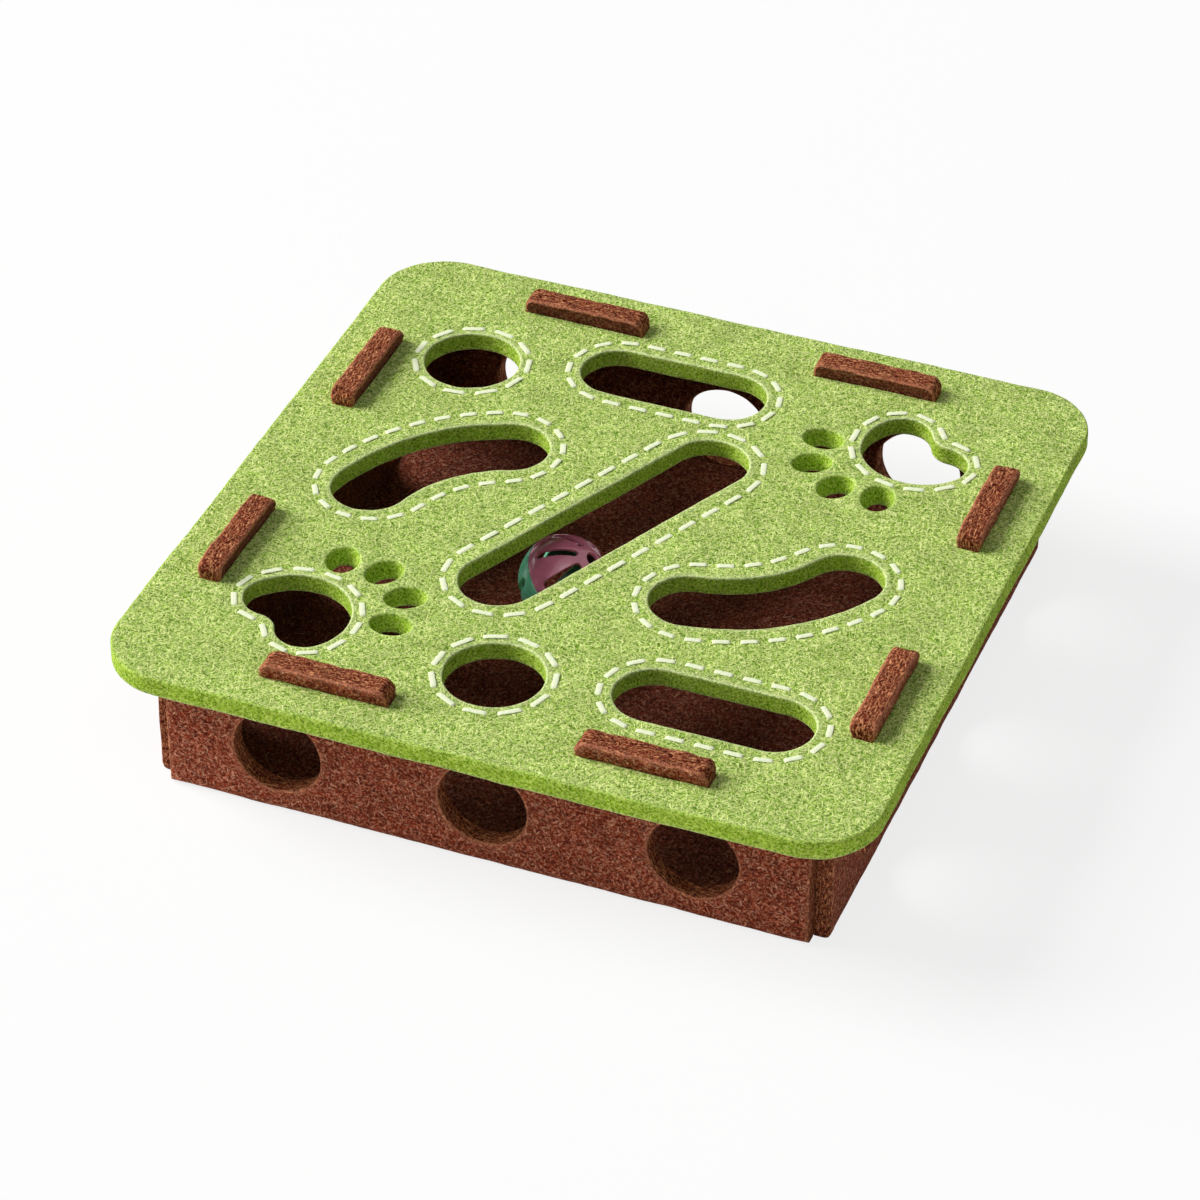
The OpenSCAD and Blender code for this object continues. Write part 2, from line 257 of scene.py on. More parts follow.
class BallSettings(bpy.types.PropertyGroup):
    """Sizes and colours of the ball and its bell."""

    slots: IntProperty(name="Slots", description="Slots in each half shell", default=8, min=3, max=16)
    slot_near: turn("Slot near end", "Angle from the pole at which a slot begins", 22)
    slot_far: turn("Slot far end", "Angle from the pole at which a slot ends", 78)
    slot_narrow: length("Narrow end", "Width of a slot near the pole", 0.0032)
    slot_wide: length("Wide end", "Width of a slot near the seam", 0.0044)
    pole_hole: length("Pole hole", "Diameter of the hole at each pole", 0.006)
    rim: length("Rim", "Rounding of the shell's edges", 0.0004)
    cell: length("Mesh cell", "Size of the mesh over a shell", 0.0012)
    pink: colour("Pink half", "Colour of the pink half shell", 240, 136, 174)
    green: colour("Green half", "Colour of the green half shell", 126, 228, 182)
    # Painted shade: a shell's inside is its own plastic dimmed to this share, standing in for the shade in
    # the ball
    inside: fraction("Inside", "Brightness of a shell's inside as a share of its outside", 0.25)
    brass: colour("Bell", "Colour of the bell's cups", 214, 178, 92)
    steel: colour("Pellet", "Colour of the bell's pellet", 160, 163, 168)


class StageSettings(bpy.types.PropertyGroup):
    """Floor, light and camera."""

    floor: colour("Floor", "Colour of the floor", 247, 246, 246)
    floor_size: length("Floor size", "Side of the floor", 8.0)
    floor_glow: fraction("Floor glow", "Share of plain white in the floor that the camera sees", 0.8)
    fill: FloatProperty(name="Fill", description="Strength of the light from all round", default=0.14,
                        min=0)
    key: power("Key", "Power of the main lamp", 1430)
    key_side: length("Key size", "Side of the main lamp", 6.0)
    key_range: length("Key distance", "Distance of the main lamp from the box", 10.0)
    key_heading: turn("Key heading", "Direction of the main lamp, from the right and anticlockwise", 183)
    key_height: turn("Key height", "Angle of the main lamp above the floor", 35)
    front: power("Front light", "Power of the weak lamp on the camera's side", 45)
    front_side: length("Front size", "Side of the weak lamp", 3.0)
    front_range: length("Front distance", "Distance of the weak lamp from the box", 6.0)
    front_heading: turn("Front heading", "Direction of the weak lamp, counted in the same way", 300)
    front_height: turn("Front height", "Angle of the weak lamp above the floor", 62)
    heading: turn("Camera heading", "Camera's turn to the right of the front", 21.1152)
    height: turn("Camera height", "Camera's angle above the floor", 37.0554)
    roll: turn("Camera roll", "Camera's turn about its view", 0.3716)
    reach: length("Camera distance", "Camera's distance from the point it looks at", 1.75827)
    target: FloatVectorProperty(name="Target", description="Point that the camera looks at", size=3,
                                default=(0.01158, -0.04479, 0.062), subtype="TRANSLATION", unit="LENGTH")
    lens: FloatProperty(name="Lens", description="Focal length in millimetres", default=141.24, min=1)


# Outlines read from the packed solids

def node_shape(name):
    """Points and triangles of a packed solid, with doubled points merged."""
    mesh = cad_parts[name].data
    mesh.calc_loop_triangles()
    points = np.empty(len(mesh.vertices) * 3, dtype=np.float32)
    mesh.vertices.foreach_get("co", points)
    triangles = np.empty(len(mesh.loop_triangles) * 3, dtype=np.int32)
    mesh.loop_triangles.foreach_get("vertices", triangles)
    points = points.reshape(-1, 3).astype(float)
    _, first, same = np.unique(points.round(SAME_POINT), axis=0, return_index=True, return_inverse=True)
    return points[first], same.reshape(-1)[triangles].reshape(-1, 3)


def panel_axes(normal):
    """Right, up and outward directions of a panel seen from the side that its normal points to."""
    outward = np.array(normal, dtype=float)
    if abs(outward[2]) > 0.5:
        return np.array([1.0, 0, 0]), np.array([0, 1.0, 0]), outward
    up = np.array([0, 0, 1.0])
    return np.cross(up, outward), up, outward


def in_place(flat, normal, level):
    """A panel's points (right, up, depth) put where it stands, given the level of its outer face."""
    right, up, outward = panel_axes(normal)
    return flat[:, :1] * right + flat[:, 1:2] * up + (level - flat[:, 2:3]) * outward


def signed_area(loop):
    """Area of a flat loop, positive where it runs anticlockwise."""
    ahead = np.roll(loop, -1, axis=0)
    return np.sum(loop[:, 0] * ahead[:, 1] - ahead[:, 0] * loop[:, 1]) / 2


def panel_outline(name, normal, from_inside):
    """A panel's flat loops, its outer level and its thickness.

    The outer loop comes first and runs anticlockwise, the holes clockwise, so the felt lies to the left.
    """
    points, triangles = node_shape(name)
    right, up, outward = panel_axes(normal)
    levels = points @ outward
    outer, inner = levels.max(), levels.min()
    level = inner if from_inside else outer
    on_face = np.abs(levels[triangles] - level).max(axis=1) < ON_FACE
    edges = set()
    for a, b, c in triangles[on_face]:
        edges.update(((a, b), (b, c), (c, a)))
    follows = {a: b for a, b in sorted(edges) if (b, a) not in edges}
    flat = np.stack([points @ right, points @ up], axis=1)
    loops = []
    while follows:
        start = min(follows)
        chain = [start]
        at = follows.pop(start)
        while at != start:
            chain.append(at)
            at = follows.pop(at)
        loops.append(flat[chain])
    loops.sort(key=lambda loop: -abs(signed_area(loop)))
    for index, loop in enumerate(loops):
        if (signed_area(loop) > 0) != (index == 0):
            loops[index] = loop[::-1]
    return loops, outer, outer - inner


def subdivide(loop, step):
    """The loop with its long edges cut into pieces no longer than the step."""
    finer = []
    for here, ahead in zip(loop, np.roll(loop, -1, axis=0)):
        pieces = max(1, math.ceil(np.linalg.norm(ahead - here) / step))
        finer.extend(here + (ahead - here) * k / pieces for k in range(pieces))
    return np.array(finer)


# Sheets of felt or shell, with holes and rounded rims

def inset(loop, distance):
    """The loop moved to its left, into the sheet, with mitred corners."""
    ahead = np.roll(loop, -1, axis=0) - loop
    ahead /= np.linalg.norm(ahead, axis=1)[:, None]
    normal = np.stack([-ahead[:, 1], ahead[:, 0]], axis=1)
    before = np.roll(normal, 1, axis=0)
    spread = np.maximum(1 + np.sum(normal * before, axis=1), MITRE_LIMIT)
    return loop + (normal + before) * (distance / spread)[:, None]


def rim_arc(rim):
    """Inset, depth and fray of each ring round a rounded rim, from the face to the cut edge."""
    turns = np.linspace(0, math.pi / 2, len(RIM_FRAY))
    return [(rim * (1 - math.sin(t)), rim * (1 - math.cos(t)), fray) for t, fray in zip(turns, RIM_FRAY)]


def rim_profile(front_rim, back_rim, front_fray, back_fray, thickness):
    """Inset, depth and fray of each ring round a cut edge, from the front face to the back."""
    front = [(side, depth, fray * front_fray) for side, depth, fray in rim_arc(front_rim)]
    straight = thickness - front_rim - back_rim
    smooth = np.zeros_like(front_fray)
    middle = [(0, front_rim + straight * k / (EDGE_ROWS + 1), smooth) for k in range(1, EDGE_ROWS + 1)]
    back = [(side, thickness - depth, fray * back_fray) for side, depth, fray in rim_arc(back_rim)[::-1]]
    return front + middle + back


def in_sheet(loops, points):
    """Which of the points lie inside the outer loop and outside every hole."""
    odd = np.zeros(len(points), dtype=bool)
    across, along = points[:, 0], points[:, 1]
    for loop in loops:
        for (ax, ay), (bx, by) in zip(loop, np.roll(loop, -1, axis=0)):
            if ay != by:
                spans = (ay > along) != (by > along)
                odd ^= spans & (across < ax + (along - ay) * (bx - ax) / (by - ay))
    return odd


def distances(points, targets):
    """How far each flat point lies from the nearest of the targets."""
    tree = kdtree.KDTree(len(targets))
    for index, (u, v) in enumerate(targets):
        tree.insert((u, v, 0), index)
    tree.balance()
    return np.array([tree.find((u, v, 0))[2] for u, v in points])


def grid_inside(loops, cell):
    """Points of a staggered grid that lie in the sheet and clear of its loops."""
    low, high = loops[0].min(axis=0), loops[0].max(axis=0)
    pitch = cell * math.sqrt(3) / 2
    rows = []
    for row, level in enumerate(np.arange(low[1] + pitch / 2, high[1], pitch)):
        across = np.arange(low[0] + cell * (0.25 + 0.5 * (row % 2)), high[0], cell)
        rows.append(np.stack([across, np.full(len(across), level)], axis=1))
    points = np.concatenate(rows)
    points = points[in_sheet(loops, points)]
    return points[distances(points, np.concatenate(loops)) > GRID_CLEAR * cell]


class Sheet:
    """Points (right, up, depth), faces and marks of a sheet, before it is put in its place.

    Each loop has a function that gives, at each of its points, the rounding of its front and back rims and
    how frayed each is. A face belongs to the front, the cut edge or the back.
    """

    FRONT, EDGE, BACK = range(3)

    def __init__(self, loops, thickness, rims, cell, back_cell):
        self.points = []
        self.fray = []
        self.faces = []
        self.side = []
        loops = [subdivide(loop, cell) for loop in loops]
        starts, fronts, backs = [], [], []
        for loop, rim_at in zip(loops, rims):
            front_rim, back_rim, front_fray, back_fray = rim_at(loop)
            starts.append(len(self.points))
            self.add_edge(loop, rim_profile(front_rim, back_rim, front_fray, back_fray, thickness))
            fronts.append(inset(loop, front_rim))
            backs.append(inset(loop, back_rim))
        ends = starts[1:] + [len(self.points)]
        last_rings = [end - len(loop) for end, loop in zip(ends, loops)]
        self.add_face(fronts, starts, cell, 0, self.FRONT)
        self.add_face(backs, last_rings, back_cell, thickness, self.BACK)

    def add_edge(self, loop, profile):
        """Adds the rings and quads round one cut edge."""
        start, count = len(self.points), len(loop)
        for side, depth, fray in profile:
            ring = inset(loop, side)
            depths = np.broadcast_to(depth, count)
            self.points.extend((u, v, d) for (u, v), d in zip(ring, depths))
            self.fray.extend(fray)
        for row in range(len(profile) - 1):
            for i in range(count):
                a = start + row * count + i
                b = start + row * count + (i + 1) % count
                self.faces.append((a, a + count, b + count, b))
                self.side.append(self.EDGE)

    def add_face(self, loops, starts, cell, depth, side):
        """Adds the triangles of the front or the back face between the edges' end rings."""
        flat, index, edges = [], [], []
        for loop, start in zip(loops, starts):
            first, count = len(flat), len(loop)
            edges.extend((first + i, first + (i + 1) % count) for i in range(count))
            flat.extend(Vector(point) for point in loop)
            index.extend(range(start, start + count))
        inner = grid_inside(loops, cell)
        index.extend(range(len(self.points), len(self.points) + len(inner)))
        self.points.extend((u, v, depth) for u, v in inner)
        self.fray.extend([0.0] * len(inner))
        flat.extend(Vector(point) for point in inner)
        made = delaunay_2d_cdt(flat, edges, [], 0, WELD)
        if len(made[0]) != len(flat):
            raise RuntimeError("a sheet's outline crosses itself")
        triangles = np.array(made[2])
        middles = np.array([(p.x, p.y) for p in flat])[triangles].mean(axis=1)
        for a, b, c in triangles[in_sheet(loops, middles)]:
            corners = (index[a], index[b], index[c])
            self.faces.append(corners if side == self.FRONT else corners[::-1])
            self.side.append(side)

    def panel_points(self):
        """The sheet's points as an array."""
        return np.array(self.points)


def even_rim(rim, front_fray, back_fray):
    """The same rounding all round a loop, with a fray for each face."""
    return lambda loop: [np.full(len(loop), value) for value in (rim, rim, front_fray, back_fray)]


def uneven(points, heights, spread):
    """The points moved by soft noise of the given heights and width, alike in each run."""
    noise.seed_set(FELT_SEED)
    heights = np.broadcast_to(heights, len(points))
    drift = np.array([noise.noise_vector(Vector(point) / spread) for point in points])
    return points + drift * heights[:, None]


def add_piece(name, points, faces, materials, body, stands_for):
    """Makes a piece of the visual model, which rides on a body and stands for a packed solid."""
    mesh = bpy.data.meshes.new(name)
    mesh.from_pydata([tuple(p) for p in points], [], faces)
    for material in materials:
        mesh.materials.append(material)
    mesh.polygons.foreach_set("use_smooth", [True] * len(mesh.polygons))
    mesh.update()
    piece = bpy.data.objects.new(name, mesh)
    bpy.context.scene.collection.objects.link(piece)
    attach(piece, body)
    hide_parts(stands_for)
    return piece


def mark_points(piece, name, kind, values):
    """Stores one value for each point of the piece, for its material to read."""
    layer = piece.data.attributes.new(name, kind, "POINT")
    field = "vector" if kind == "FLOAT_VECTOR" else "value"
    layer.data.foreach_set(field, np.asarray(values, dtype=np.float32).reshape(-1))


def add_felt(name, node, sheet, points, materials, body):
    """Makes a felt panel from a sheet and its points in place, with its front, cut and back materials."""
    piece = add_piece(name, points, sheet.faces, materials, body, node)
    piece.data.polygons.foreach_set("material_index", sheet.side)
    mark_points(piece, "grain", "FLOAT_VECTOR", sheet.panel_points())
    mark_points(piece, "fray", "FLOAT", sheet.fray)
    return piece


# Materials

# Sockets of a mix node that joins colours
MIX_FACTOR, MIX_A, MIX_B, MIX_RESULT = 0, 6, 7, 2


class Recipe:
    """Builds one material from nodes."""

    def __init__(self, name):
        self.material = bpy.data.materials.new(name)
        self.material.use_nodes = True
        self.tree = self.material.node_tree
        self.shader = self.tree.nodes["Principled BSDF"]

    def put(self, socket, value):
        """Sets an input, or wires another node's output to it."""
        if isinstance(value, bpy.types.NodeSocket):
            self.tree.links.new(value, socket)
        else:
            socket.default_value = value

    def add(self, kind, inputs, **settings):
        """Adds a node with its settings and inputs."""
        node = self.tree.nodes.new(kind)
        for key, value in settings.items():
            setattr(node, key, value)
        for key, value in inputs.items():
            self.put(node.inputs[key], value)
        return node

    def set(self, **inputs):
        """Sets the shader's own inputs, named with underscores for spaces."""
        for key, value in inputs.items():
            self.put(self.shader.inputs[key.replace("_", " ")], value)

    def marks(self, name, output):
        """Reads what the mesh stores for each point."""
        return self.add("ShaderNodeAttribute", {}, attribute_name=name).outputs[output]

    def place(self):
        """Position in the piece's own frame."""
        return self.add("ShaderNodeTexCoord", {}).outputs["Object"]

    def stretch(self, vector, scale, degrees=(0, 0, 0)):
        """The vector turned and then scaled."""
        angles = [math.radians(d) for d in degrees]
        turned = self.add("ShaderNodeMapping", {"Vector": vector, "Rotation": angles})
        return self.add("ShaderNodeMapping", {"Vector": turned.outputs[0], "Scale": scale}).outputs[0]

    def speckle(self, vector, scale, detail, roughness=0.6):
        """Soft noise from 0 to 1."""
        inputs = {"Vector": vector, "Scale": scale, "Detail": detail, "Roughness": roughness}
        return self.add("ShaderNodeTexNoise", inputs).outputs["Fac"]

    def wander(self, vector, scale, reach):
        """The vector moved a little by soft noise, so that what is drawn on it bends."""
        soft = self.add("ShaderNodeTexNoise", {"Vector": vector, "Scale": scale, "Detail": 2})
        drift = self.vectors("SUBTRACT", {0: soft.outputs["Color"], 1: (0.5, 0.5, 0.5)})
        shift = self.vectors("SCALE", {0: drift, "Scale": reach})
        return self.vectors("ADD", {0: vector, 1: shift})

    def strands(self, vector, headings, scale, sparse):
        """Short strokes that lie along the given headings, from 0 to 1, and fewer where they are sparse."""
        strokes = 0.0
        for heading in headings:
            drawn = self.stretch(vector, FIBRE_STRETCH, (0, 0, heading))
            low, high = (level + sparse for level in FIBRE_RANGE)
            stroke = self.between(self.speckle(drawn, scale, detail=2), low, high)
            strokes = self.math("MAXIMUM", strokes, stroke)
        return strokes

    def layers(self, vector, scale, shortness):
        """Streaks that lie in the plane of a sheet, as its cut edge shows them, from 0 to 1."""
        drawn = self.stretch(vector, (shortness, shortness, 1))
        return self.between(self.speckle(drawn, scale, detail=3), *LAYER_RANGE)

    def between(self, value, low, high, to_low=0.0, to_high=1.0):
        """The value's range from low to high spread over another range."""
        inputs = {"Value": value, "From Min": low, "From Max": high, "To Min": to_low, "To Max": to_high}
        return self.add("ShaderNodeMapRange", inputs).outputs["Result"]

    def vectors(self, operation, inputs):
        """Vectors joined by an operation."""
        return self.add("ShaderNodeVectorMath", inputs, operation=operation).outputs[0]

    def math(self, operation, first, second):
        """Two values joined by an operation."""
        return self.add("ShaderNodeMath", {0: first, 1: second}, operation=operation).outputs[0]

    def blend(self, factor, first, second, kind="MIX"):
        """Two colours joined by a factor."""
        inputs = {MIX_FACTOR: factor, MIX_A: first, MIX_B: second}
        node = self.add("ShaderNodeMix", inputs, data_type="RGBA", blend_type=kind)
        return node.outputs[MIX_RESULT]

    def ramp(self, value, *stops):
        """Colours along a value, each stop a position and a colour."""
        node = self.add("ShaderNodeValToRGB", {"Fac": value})
        elements = node.color_ramp.elements
        while len(elements) < len(stops):
            elements.new(0.5)
        for element, (position, shade) in zip(elements, stops):
            element.position = position
            element.color = shade
        return node.outputs["Color"]

    def bump(self, height, distance, strength):
        """Wires a height into the shader's normal."""
        inputs = {"Height": height, "Distance": distance, "Strength": strength}
        self.set(Normal=self.add("ShaderNodeBump", inputs).outputs["Normal"])


def solid(shade, level=1.0):
    """A setting's colour with full cover, at a share of its brightness."""
    return (*(min(1.0, channel * level) for channel in shade), 1.0)


def felt_material(name, shades, fuzz, streaks=0.0, fineness=1.0, sparse=0.0, level=1.0):
    """Pressed felt: mottled dye, pale and dark fibres that lie every way, and loose fuzz along the rims.

    The shades are those of its body, its pale fibres and the pores between them. A cut edge shows the
    felt's layers as streaks, 1 being round specks, and shines less. Fine felt has slimmer fibres, sparse
    felt has fewer pale ones, and the level dims all as painted shade. On the lid the fuzz is partly a
    painted highlight along the rims.
    """
    # A level under 1 paints shade over the whole felt
    body, fibre, pore = (solid(shade, level) for shade in shades)
    felt = Recipe(name)
    flat = felt.marks("grain", "Vector")
    grain = felt.wander(flat, BENDS, CUT_WANDER if streaks else FACE_WANDER)
    pores = felt.speckle(grain, PORES * fineness, detail=3, roughness=0.72)
    if streaks:
        pale = felt.layers(grain, PALE_LAYERS * fineness, streaks)
        dark = felt.layers(grain, DARK_LAYERS * fineness, streaks)
    else:
        pale = felt.strands(grain, PALE_HEADINGS, PALE_FIBRES * fineness, sparse)
        dark = felt.strands(grain, DARK_HEADINGS, DARK_FIBRES * fineness, 0)
    dye = felt.ramp(pores, (0.36, pore), (0.5, body), (0.66 + sparse, fibre))
    dye = felt.blend(felt.math("MULTIPLY", dark, 0.9), dye, pore)
    dye = felt.blend(pale, dye, fibre)
    clouds = felt.between(felt.speckle(flat, CLOUDS, detail=4), 0.3, 0.7, 0.82, 1.1)
    dye = felt.blend(1.0, dye, clouds, "MULTIPLY")
    # Pale fuzz along the rims, which on the lid is partly a painted highlight
    fray = felt.math("MULTIPLY", felt.marks("fray", "Fac"), felt.between(pores, 0.35, 0.55, 0.4, 1.0))
    felt.set(Base_Color=felt.blend(fray, dye, solid(fuzz, level)))
    felt.set(Roughness=felt.between(pores, 0.3, 0.7, 1.0, 0.86))
    felt.set(Specular_IOR_Level=0.1, Sheen_Roughness=0.45, Sheen_Tint=fibre)
    felt.set(Sheen_Weight=0.03 if streaks else 0.1)
    felt.bump(felt.math("ADD", pores, felt.math("MULTIPLY", pale, 0.6)), distance=0.0005, strength=0.85)
    return felt.material


def thread_material(name, body, shade):
    """Soft twisted thread with fine fibres along it."""
    thread = Recipe(name)
    grain = thread.marks("grain", "Vector")
    fibres = thread.speckle(thread.stretch(grain, FIBRE_STRETCH), THREAD_FIBRES, detail=3)
    worn = thread.marks("fray", "Fac")
    dye = thread.ramp(fibres, (0.32, solid(shade)), (0.55, solid(body)))
    thread.set(Base_Color=thread.blend(thread.math("MULTIPLY", worn, 0.6), dye, solid(shade)))
    thread.set(Roughness=thread.between(fibres, 0.3, 0.7, 0.9, 0.7))
    thread.set(Specular_IOR_Level=0.25, Sheen_Weight=0.25, Sheen_Roughness=0.4, Sheen_Tint=solid(body))
    thread.bump(fibres, distance=0.0002, strength=0.6)
    return thread.material


def plastic_material(name, body, level=1.0):
    """Moulded gloss plastic with faint flow marks and rubbed patches, dimmed by the level as painted shade.
    """
    plastic = Recipe(name)
    place = plastic.place()
    flow = plastic.speckle(plastic.stretch(place, (1, 1, 2.5)), FLOW_MARKS, detail=3)
    dull, bright = solid(body, 0.9 * level), solid(body, 1.06 * level)
    plastic.set(Base_Color=plastic.ramp(flow, (0.3, dull), (0.7, bright)))
    rubbed = plastic.speckle(place, RUBBED_PATCHES, detail=4)
    plastic.set(Roughness=plastic.between(rubbed, 0.3, 0.7, 0.16, 0.32))
    plastic.set(Specular_IOR_Level=0.55, Coat_Weight=0.25, Coat_Roughness=0.08)
    plastic.bump(flow, distance=0.00015, strength=0.25)
    return plastic.material


def metal_material(name, body, dull):
    """Small metal parts with tarnish and fine rubbing."""
    metal = Recipe(name)
    place = metal.place()
    tarnish = metal.speckle(place, TARNISH, detail=4)
    rubbed = metal.speckle(metal.stretch(place, (1, 1, 9)), RUB_MARKS, detail=3)
    metal.set(Base_Color=metal.ramp(tarnish, (0.35, solid(body, 0.62)), (0.62, solid(body))))
    metal.set(Roughness=metal.between(rubbed, 0.3, 0.7, dull - 0.08, dull + 0.1))
    metal.set(Metallic=1.0)
    metal.bump(rubbed, distance=0.00005, strength=0.3)
    return metal.material


def seen_directly(tree):
    """1 for rays that show the stage itself, straight or in a mirror or a glass, and 0 for its light."""
    path = tree.nodes.new("ShaderNodeLightPath")
    total = path.outputs["Is Camera Ray"]
    for kind in ("Is Glossy Ray", "Is Transmission Ray"):
        sum_node = tree.nodes.new("ShaderNodeMath")
        sum_node.use_clamp = True
        tree.links.new(total, sum_node.inputs[0])
        tree.links.new(path.outputs[kind], sum_node.inputs[1])
        total = sum_node.outputs[0]
    return total


def floor_material(name, body, glow):
    """Plain pale floor with the faintest cloud in it, whitened where it is seen directly."""
    floor = Recipe(name)
    cloud = floor.speckle(floor.place(), FLOOR_CLOUDS, detail=2)
    floor.set(Base_Color=floor.ramp(cloud, (0.3, solid(body, 0.985)), (0.7, solid(body))))
    floor.set(Roughness=0.8, Specular_IOR_Level=0.1)
    white = floor.add("ShaderNodeEmission", {"Color": (1, 1, 1, 1), "Strength": 1.0})
    share = floor.math("MULTIPLY", seen_directly(floor.tree), glow)
    mixed = floor.add("ShaderNodeMixShader", {0: share, 1: floor.shader.outputs[0], 2: white.outputs[0]})
    floor.put(floor.tree.nodes["Material Output"].inputs["Surface"], mixed.outputs[0])
    return floor.material


def lid_felts(felt):
    """Materials of the lid's top, cut edges and underside."""
    face = (felt.lid_body, felt.lid_fibre, felt.lid_pore)
    cut = (felt.lid_cut, felt.lid_cut_fibre, felt.lid_cut_pore)
    top = felt_material("green_felt_face", face, felt.lid_fuzz_and_highlight)
    return top, felt_material("green_felt_cut", cut, felt.lid_fuzz_and_highlight, streaks=0.6), top


def tray_felts(felt):
    """Materials of the tray's outside, cut edges and dimmed inside (painted shade), made when they are
    first needed.
    """
    face = (felt.wall_body, felt.wall_fibre, felt.wall_pore)
    cut = (felt.wall_cut, felt.wall_cut_fibre, felt.wall_cut_pore)
    looks = {
        "brown_felt_face": {"shades": face, "fineness": 0.8},
        "brown_felt_cut": {"shades": cut, "fineness": 1.25, "streaks": 0.18},
        # The inside is the face felt dimmed, as painted shade
        "brown_felt_inside": {"shades": face, "fineness": 0.8, "level": felt.inside},
    }
    return [bpy.data.materials.get(name) or felt_material(name, fuzz=felt.wall_fuzz, sparse=0.07, **look)
            for name, look in looks.items()]


# Stitching

def islands(name):
    """Points of each separate solid in a node."""
    points, triangles = node_shape(name)
    owner = list(range(len(points)))

    def root(index):
        while owner[index] != index:
            owner[index] = owner[owner[index]]
            index = owner[index]
        return index

    for a, b, c in triangles:
        owner[root(a)] = root(c)
        owner[root(b)] = root(c)
    groups = {}
    for index in range(len(points)):
        groups.setdefault(root(index), []).append(index)
    return [points[members] for members in groups.values()]


def stitch_lines(name):
    """Both ends of each stitch in a loop, with the width that its solid has."""
    lines = []
    for points in islands(name):
        middle = (points[:, :2].min(axis=0) + points[:, :2].max(axis=0)) / 2
        spread = points[:, :2] - middle
        along = np.linalg.eigh(spread.T @ spread)[1][:, 1]
        across = np.array([-along[1], along[0]])
        half = np.abs(spread @ along).max()
        lines.append((middle - along * half, middle + along * half, 2 * np.abs(spread @ across).max()))
    return lines


def in_sewing_order(lines):
    """The stitches as they follow one another round their loop, each with its ends in that order."""
    left = list(lines)
    ordered = [left.pop(0)]
    while left:
        end = ordered[-1][1]
        choices = [(at, flip) for at in range(len(left)) for flip in (0, 1)]
        at, flip = min(choices, key=lambda choice: np.linalg.norm(left[choice[0]][choice[1]] - end))
        start, finish, width = left.pop(at)
        ordered.append((finish, start, width) if flip else (start, finish, width))
    return ordered


def add_stitch(points, faces, grain, fray, line, level, facing, thread):
    """Adds one arched, twisted stitch on the felt's face at the given level, which faces up or down."""
    start, end, width = line
    middle, half = (start + end) / 2, np.linalg.norm(end - start) / 2
    along = (end - start) / (2 * half)
    across = np.array([-along[1], along[0]])
    first = len(points)
    for ring in range(STITCH_RINGS):
        share = math.sin(math.pi / 2 * (2 * ring / (STITCH_RINGS - 1) - 1))
        dip = abs(share) ** END_DIP
        height = thread.rise * (1 - dip) - thread.sink * dip
        taper = math.sqrt(max(END_TIP, 1 - abs(share) ** END_TAPER))
        at = middle + along * share * half
        for k in range(RING_POINTS):
            angle = 2 * math.pi * k / RING_POINTS
            ply = 1 + PLY_DEPTH * math.cos(thread.plies * (angle - 2 * math.pi * share * half / thread.lay))
            loose = 1 + LOOSE_DEPTH * noise.noise(Vector((*at, math.cos(angle) * width)) * LOOSE_SCALE)
            side = width / 2 * taper * ply * loose * math.cos(angle)
            rise = width / 2 * thread.flatness * taper * ply * math.sin(angle)
            points.append((*(at + across * side), level + facing * (height + rise)))
            rolled = (width * math.cos(angle) / 2, width * math.sin(angle) / 2 + GRAIN_SHIFT * first)
            grain.append((share * half, *rolled))
            fray.append(max(dip, abs(math.cos(angle)) ** SIDE_FRAY))
    for ring in range(STITCH_RINGS - 1):
        for k in range(RING_POINTS):
            a = first + ring * RING_POINTS + k
            b = first + ring * RING_POINTS + (k + 1) % RING_POINTS
            quad = (a, b, b + RING_POINTS, a + RING_POINTS)
            faces.append(quad if facing < 0 else quad[::-1])
    near_end = tuple(range(first, first + RING_POINTS))
    far_end = tuple(range(len(points) - RING_POINTS, len(points)))
    faces.append(near_end if facing > 0 else near_end[::-1])
    faces.append(far_end[::-1] if facing > 0 else far_end)


# Operators, one for each piece or group of like pieces

class MAZEBOX_OT_base(bpy.types.Operator):
    """Builds the felt base that the walls fold up from"""

    bl_idname = "mazebox.base"
    bl_label = "Base"

    def execute(self, context):
        felt = context.scene.maze_felt
        loops, top, thickness = panel_outline("base_panel", UPWARD, False)
        rims = [even_rim(felt.wall_rim, *BASE_FRAY) for _ in loops]
        sheet = Sheet(loops, thickness, rims, felt.cell * BASE_TOP_CELLS, felt.cell * BASE_UNDER_CELLS)
        points = uneven(in_place(sheet.panel_points(), UPWARD, top), felt.unevenness, BASE_WAVES)
        points[:, 2] = np.maximum(points[:, 2], 0)
        # The base's top takes the dimmed inside felt, as painted shade
        outside, cut, inside = tray_felts(felt)
        add_felt("base", "base_panel", sheet, points, (inside, cut, outside), "box")
        return {"FINISHED"}


